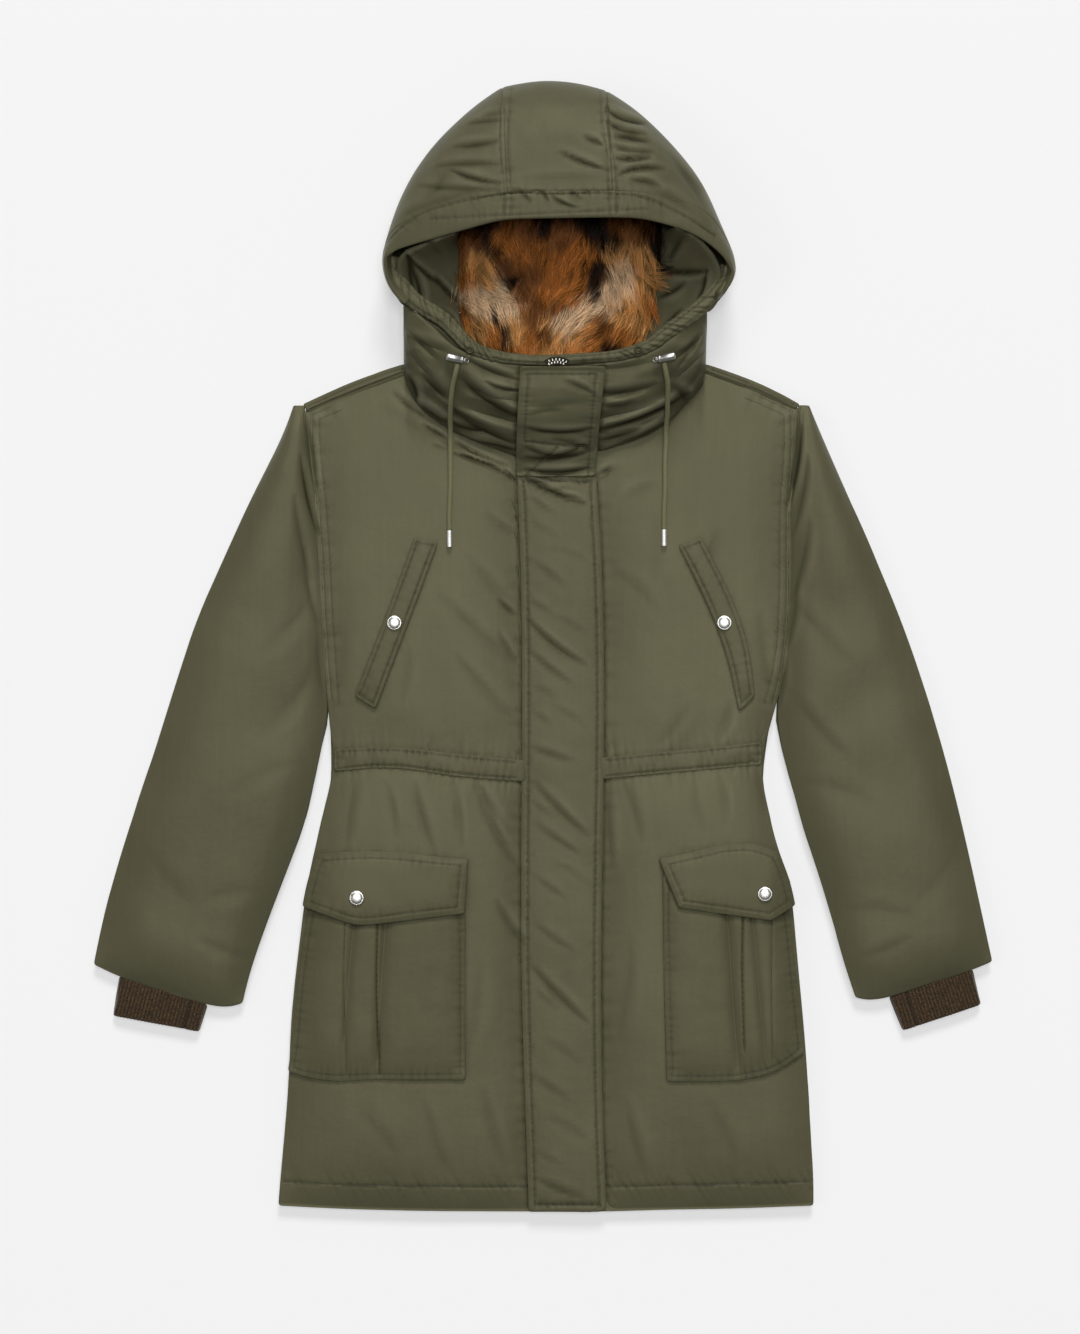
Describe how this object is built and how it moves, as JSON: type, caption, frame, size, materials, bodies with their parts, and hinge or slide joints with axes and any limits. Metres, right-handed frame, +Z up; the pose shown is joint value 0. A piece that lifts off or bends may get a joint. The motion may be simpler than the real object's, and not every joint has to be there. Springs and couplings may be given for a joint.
{
  "type": "padded hooded parka, laid flat",
  "caption": "Olive padded parka laid flat: fur-lined hood, funnel collar, covered zip, waist casing, slanted chest welts, flapped pockets and rib cuffs.",
  "frame": {"origin": "on the surface it lies on, under the middle of its length and width", "axes": "+Z up from the surface, +Y along the garment from hem to hood, +X across it to the right as seen from above with the hood at the top"},
  "size_m": [0.912, 1.1471, 0.1028],
  "materials": {
    "shell_nylon": "satin padded nylon twill, olive",
    "lining_satin": "smooth quilted lining, grey green",
    "fur": "long brown and cream faux fur",
    "rib_knit": "matte brown melange rib knit",
    "braided_cord": "round olive braid",
    "polished_metal": "polished nickel"
  },
  "bodies": {
    "root": {"back_body": "shell_nylon", "chest_welt_left": "shell_nylon", "chest_welt_right": "shell_nylon", "collar_back": "shell_nylon", "collar_left": "shell_nylon", "collar_right": "shell_nylon", "collar_tab": "shell_nylon", "cord_left": "braided_cord", "cord_right": "braided_cord", "cord_tip_left": "polished_metal", "cord_tip_right": "polished_metal", "cuff_left": "rib_knit", "cuff_right": "rib_knit", "eyelet_left": "polished_metal", "eyelet_right": "polished_metal", "flap_left": "shell_nylon", "flap_right": "shell_nylon", "front_left": "shell_nylon", "front_right": "shell_nylon", "fur_lining": "fur", "hood_back": "shell_nylon", "hood_band": "shell_nylon", "hood_centre": "shell_nylon", "hood_lining_left": "lining_satin", "hood_lining_right": "lining_satin", "hood_rim_left": "shell_nylon", "hood_rim_right": "shell_nylon", "hood_side_left": "shell_nylon", "hood_side_right": "shell_nylon", "placket": "shell_nylon", "pocket_left": "shell_nylon", "pocket_right": "shell_nylon", "shoulder_left": "shell_nylon", "shoulder_right": "shell_nylon", "sleeve_top_left": "shell_nylon", "sleeve_top_right": "shell_nylon", "sleeve_under_left": "shell_nylon", "sleeve_under_right": "shell_nylon", "snap_chest_left": "polished_metal", "snap_chest_right": "polished_metal", "snap_flap_left": "polished_metal", "snap_flap_right": "polished_metal", "toggle_left": "polished_metal", "toggle_right": "polished_metal", "waist_casing_left": "shell_nylon", "waist_casing_right": "shell_nylon", "zip_top": "polished_metal"}
  },
  "joints": []
}
